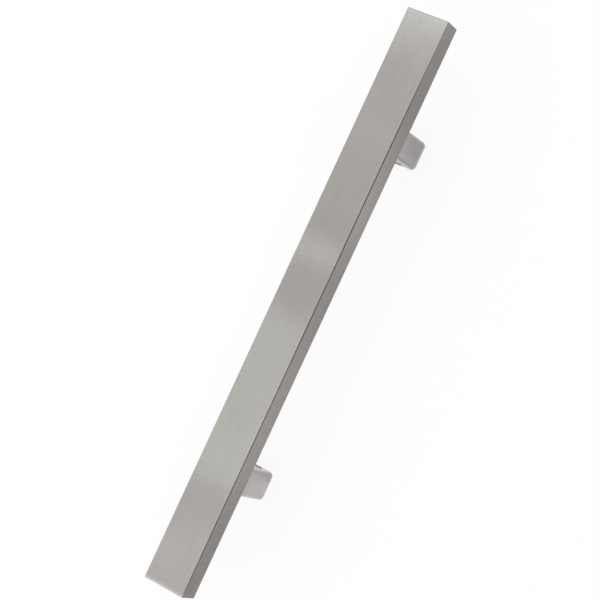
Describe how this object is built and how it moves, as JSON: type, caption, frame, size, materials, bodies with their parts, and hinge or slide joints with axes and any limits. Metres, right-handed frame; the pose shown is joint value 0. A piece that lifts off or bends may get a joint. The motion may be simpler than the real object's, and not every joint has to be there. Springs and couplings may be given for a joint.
{
  "type": "door pull handle",
  "caption": "Straight satin steel door pull: a flat rectangular bar carried off the door on square posts with rounded corners and threaded spigots for door bolts.",
  "frame": {"origin": "on the door's face, midway between the feet of the posts", "axes": "+Z out of the door, +X along the bar towards its upper end on a door, Y across the bar"},
  "size_m": [0.5, 0.038, 0.075],
  "materials": {
    "satin_bar": "satin, fine brushing along the bar",
    "satin_post": "satin, fine brushing along the post",
    "turned_steel": "turned",
    "plain_steel": "plain machined"
  },
  "bodies": {
    "root": {"grip_bar": "satin_bar", "end_cap_upper": "satin_bar", "end_cap_lower": "satin_bar", "post_upper": "satin_post", "post_lower": "satin_post", "bar_nut_upper": "plain_steel", "bar_nut_lower": "plain_steel", "post_screw_upper": "plain_steel", "post_screw_lower": "plain_steel", "mounting_spigot_upper": "turned_steel", "mounting_spigot_lower": "turned_steel", "grub_screw_upper": "plain_steel", "grub_screw_lower": "plain_steel"}
  },
  "joints": []
}
